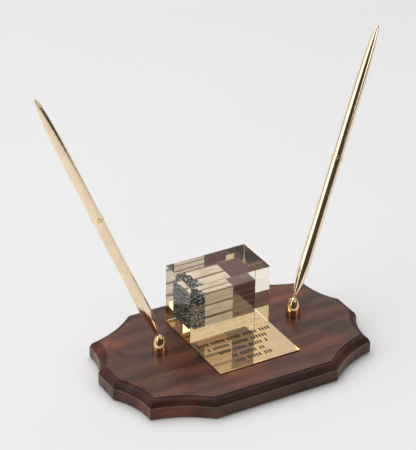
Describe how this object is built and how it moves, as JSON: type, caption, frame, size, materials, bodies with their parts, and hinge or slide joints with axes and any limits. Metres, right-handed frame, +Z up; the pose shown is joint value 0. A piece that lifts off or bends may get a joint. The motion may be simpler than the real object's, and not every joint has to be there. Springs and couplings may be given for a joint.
{
  "type": "desk pen set plaque",
  "caption": "Scalloped walnut plaque with a quarter-round edge, a brass plate, a clear block holding a layered sample, and slim gold desk pens in swivel holders.",
  "frame": {"origin": "centre of the board outline at the underside of the felt", "axes": "+Z up, +X along the board towards the right pen, -Y is the front with the engraved part of the plate"},
  "size_m": [0.2538, 0.116, 0.1933],
  "materials": {
    "walnut": "gloss lacquer over open grain",
    "felt": "matt wool felt",
    "adhesive": "double-sided tape",
    "plate_brass": "polished, dark-filled engraving",
    "clear_bond": "clear cement film",
    "acrylic": "polished clear acrylic, slightly yellowed",
    "char": "charred, rough",
    "core": "matt, striped along its length",
    "backing": "smooth resin",
    "holder_gold": "polished gold plate",
    "pen_gold": "polished gold plate with fine lengthwise lines",
    "raw_brass": "turned",
    "steel": "zinc plated",
    "nylon": "moulded"
  },
  "bodies": {
    "stand": {"plaque_base": "walnut", "felt_pad": "felt", "plate_adhesive": "adhesive", "engraved_plate": "plate_brass", "block_bond": "clear_bond", "acrylic_block": "acrylic", "sample_char_layer": "char", "sample_core": "core", "sample_backing": "backing", "left_holder_shell": "holder_gold", "left_holder_stud": "steel", "left_holder_washer": "steel", "left_holder_nut": "steel", "left_seat_spring": "steel", "right_holder_shell": "holder_gold", "right_holder_stud": "steel", "right_holder_washer": "steel", "right_holder_nut": "steel", "right_seat_spring": "steel"},
    "left_seat": {"left_ball_seat": "nylon"},
    "left_ball": {"left_swivel_ball": "holder_gold"},
    "left_nose": {"left_pen_nose": "pen_gold"},
    "left_refill": {"left_refill_tube": "steel", "left_writing_tip": "raw_brass"},
    "left_barrel": {"left_pen_insert": "raw_brass", "left_pen_barrel": "pen_gold", "left_centre_ring": "pen_gold", "left_pen_tail": "pen_gold"},
    "right_seat": {"right_ball_seat": "nylon"},
    "right_ball": {"right_swivel_ball": "holder_gold"},
    "right_nose": {"right_pen_nose": "pen_gold"},
    "right_refill": {"right_refill_tube": "steel", "right_writing_tip": "raw_brass"},
    "right_barrel": {"right_pen_insert": "raw_brass", "right_pen_barrel": "pen_gold", "right_centre_ring": "pen_gold", "right_pen_tail": "pen_gold"}
  },
  "joints": [
    {"name": "left_pan", "type": "hinge", "parent": "stand", "child": "left_seat", "pos_m": [-0.04713, 0.0074, 0.0227], "axis": [0, 0, 1], "range_deg": [-84, 95]},
    {"name": "left_tilt", "type": "hinge", "parent": "left_seat", "child": "left_ball", "pos_m": [-0.04713, 0.0074, 0.0227], "axis": [-0.3453, -0.9385, 0], "range_deg": [-23.3, 17.2]},
    {"name": "left_pen_lift", "type": "slide", "parent": "left_ball", "child": "left_nose", "axis": [-0.3712, 0.1366, 0.9184], "range_m": [0, 0.03]},
    {"name": "left_refill_draw", "type": "slide", "parent": "left_nose", "child": "left_refill", "axis": [-0.3712, 0.1366, 0.9184], "range_m": [0, 0.003]},
    {"name": "left_barrel_unscrew", "type": "hinge", "parent": "left_refill", "child": "left_barrel", "pos_m": [-0.04713, 0.0074, 0.0227], "axis": [-0.3712, 0.1366, 0.9184], "range_deg": [0, 720]},
    {"name": "right_pan", "type": "hinge", "parent": "stand", "child": "right_seat", "pos_m": [0.04953, 0.005, 0.0227], "axis": [0, 0, 1], "range_deg": [-103, 76]},
    {"name": "right_tilt", "type": "hinge", "parent": "right_seat", "child": "right_ball", "pos_m": [0.04953, 0.005, 0.0227], "axis": [-0.4818, 0.8763, 0], "range_deg": [-32.6, 7.9]},
    {"name": "right_pen_lift", "type": "slide", "parent": "right_ball", "child": "right_nose", "axis": [0.4721, 0.2596, 0.8425], "range_m": [0, 0.03]},
    {"name": "right_refill_draw", "type": "slide", "parent": "right_nose", "child": "right_refill", "axis": [0.4721, 0.2596, 0.8425], "range_m": [0, 0.003]},
    {"name": "right_barrel_unscrew", "type": "hinge", "parent": "right_refill", "child": "right_barrel", "pos_m": [0.04953, 0.005, 0.0227], "axis": [0.4721, 0.2596, 0.8425], "range_deg": [0, 720]}
  ],
  "couplings": [
    {"joint": "left_barrel_unscrew", "follows": "left_refill_draw", "rad_per_m": 4188.8},
    {"joint": "right_barrel_unscrew", "follows": "right_refill_draw", "rad_per_m": 4188.8}
  ]
}
